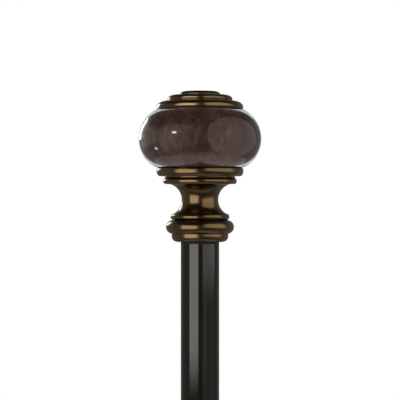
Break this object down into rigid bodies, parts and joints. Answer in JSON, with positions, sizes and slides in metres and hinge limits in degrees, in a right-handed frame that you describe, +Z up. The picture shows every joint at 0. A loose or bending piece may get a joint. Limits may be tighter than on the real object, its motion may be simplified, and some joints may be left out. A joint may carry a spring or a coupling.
{
  "type": "curtain rod with brackets",
  "caption": "Telescoping metal curtain rod on two adjustable wall brackets, with screw-on ball finials of lacquered wood between bronze castings.",
  "frame": {"origin": "middle of the left wall plate's back face, on the wall", "axes": "+X along the rod towards its telescoping end, +Y into the wall, +Z up"},
  "size_m": [1.1167, 0.1295, 0.0812],
  "materials": {
    "antique_bronze": "antique bronze, satin gloss",
    "lacquered_walnut": "dark walnut stain under clear gloss lacquer",
    "gloss_black": "gloss black enamel on steel",
    "black_nylon": "black nylon",
    "brass": "plain turned brass",
    "black_knob": "satin black",
    "zinc_steel": "bright zinc-plated steel"
  },
  "bodies": {
    "left_wall_bracket": {"left_wall_plate": "gloss_black", "left_arm_sleeve": "gloss_black"},
    "left_lock_screw": {"left_lock_stud": "zinc_steel"},
    "left_lock_grip": {"left_lock_knob": "black_knob"},
    "left_arm": {"left_arm_bar": "gloss_black", "left_cradle": "gloss_black"},
    "left_clamp_screw": {"left_clamp_stud": "zinc_steel"},
    "left_clamp_grip": {"left_clamp_knob": "black_knob"},
    "outer_rod": {"outer_tube": "gloss_black", "left_end_plug": "black_nylon", "left_threaded_insert": "brass"},
    "left_finial_screw": {"left_tie_stud": "zinc_steel"},
    "left_finial": {"left_finial_base": "antique_bronze", "left_finial_ball": "lacquered_walnut", "left_finial_crown": "antique_bronze"},
    "inner_rod": {"inner_tube": "gloss_black", "inner_glide": "black_nylon", "right_end_plug": "black_nylon", "right_threaded_insert": "brass"},
    "right_finial_screw": {"right_tie_stud": "zinc_steel"},
    "right_finial": {"right_finial_base": "antique_bronze", "right_finial_ball": "lacquered_walnut", "right_finial_crown": "antique_bronze"},
    "right_arm": {"right_arm_bar": "gloss_black", "right_cradle": "gloss_black"},
    "right_clamp_screw": {"right_clamp_stud": "zinc_steel"},
    "right_clamp_grip": {"right_clamp_knob": "black_knob"},
    "right_wall_bracket": {"right_wall_plate": "gloss_black", "right_arm_sleeve": "gloss_black"},
    "right_lock_screw": {"right_lock_stud": "zinc_steel"},
    "right_lock_grip": {"right_lock_knob": "black_knob"}
  },
  "joints": [
    {"name": "left_projection", "type": "slide", "parent": "left_wall_bracket", "child": "left_arm", "axis": [0, -1, 0], "range_m": [-0.0127, 0.01905]},
    {"name": "left_lock_feed", "type": "slide", "parent": "left_wall_bracket", "child": "left_lock_screw", "axis": [0, 0, -1], "range_m": [0, 0.0024]},
    {"name": "left_lock_turn", "type": "hinge", "parent": "left_lock_screw", "child": "left_lock_grip", "pos_m": [0, -0.0475, -0.015], "axis": [0, 0, -1], "range_deg": [0, 1080]},
    {"name": "left_clamp_feed", "type": "slide", "parent": "left_arm", "child": "left_clamp_screw", "axis": [0, 0, -1], "range_m": [0, 0.0024]},
    {"name": "left_clamp_turn", "type": "hinge", "parent": "left_clamp_screw", "child": "left_clamp_grip", "pos_m": [0, -0.0889, -0.023], "axis": [0, 0, -1], "range_deg": [0, 1080]},
    {"name": "rod_shift", "type": "slide", "parent": "left_arm", "child": "outer_rod", "axis": [1, 0, 0], "range_m": [-0.1, 0.1]},
    {"name": "left_finial_feed", "type": "slide", "parent": "outer_rod", "child": "left_finial_screw", "axis": [-1, 0, 0], "range_m": [0, 0.01251]},
    {"name": "left_finial_turn", "type": "hinge", "parent": "left_finial_screw", "child": "left_finial", "pos_m": [-0.1513, -0.0889, 0], "axis": [-1, 0, 0], "range_deg": [0, 3600]},
    {"name": "telescope", "type": "slide", "parent": "outer_rod", "child": "inner_rod", "axis": [1, 0, 0], "range_m": [-0.06, 0.3048]},
    {"name": "right_finial_feed", "type": "slide", "parent": "inner_rod", "child": "right_finial_screw", "axis": [1, 0, 0], "range_m": [0, 0.01251]},
    {"name": "right_finial_turn", "type": "hinge", "parent": "right_finial_screw", "child": "right_finial", "pos_m": [0.7657, -0.0889, 0], "axis": [1, 0, 0], "range_deg": [0, 3600]},
    {"name": "right_bracket_along_rod", "type": "slide", "parent": "inner_rod", "child": "right_arm", "axis": [1, 0, 0], "range_m": [-0.03, 0.08]},
    {"name": "right_clamp_feed", "type": "slide", "parent": "right_arm", "child": "right_clamp_screw", "axis": [0, 0, -1], "range_m": [0, 0.0024]},
    {"name": "right_clamp_turn", "type": "hinge", "parent": "right_clamp_screw", "child": "right_clamp_grip", "pos_m": [0.6644, -0.0889, -0.02141], "axis": [0, 0, -1], "range_deg": [0, 1080]},
    {"name": "right_projection", "type": "slide", "parent": "right_arm", "child": "right_wall_bracket", "axis": [0, -1, 0], "range_m": [-0.01905, 0.0127]},
    {"name": "right_lock_feed", "type": "slide", "parent": "right_wall_bracket", "child": "right_lock_screw", "axis": [0, 0, -1], "range_m": [0, 0.0024]},
    {"name": "right_lock_turn", "type": "hinge", "parent": "right_lock_screw", "child": "right_lock_grip", "pos_m": [0.6644, -0.0475, -0.01341], "axis": [0, 0, -1], "range_deg": [0, 1080]}
  ],
  "couplings": [
    {"joint": "left_lock_feed", "follows": "left_lock_turn", "m_per_rad": 0.00012732},
    {"joint": "left_clamp_feed", "follows": "left_clamp_turn", "m_per_rad": 0.00012732},
    {"joint": "left_finial_feed", "follows": "left_finial_turn", "m_per_rad": 0.00019894},
    {"joint": "right_finial_feed", "follows": "right_finial_turn", "m_per_rad": 0.00019894},
    {"joint": "right_clamp_feed", "follows": "right_clamp_turn", "m_per_rad": 0.00012732},
    {"joint": "right_projection", "follows": "left_projection", "ratio": -1},
    {"joint": "right_lock_feed", "follows": "right_lock_turn", "m_per_rad": 0.00012732}
  ]
}
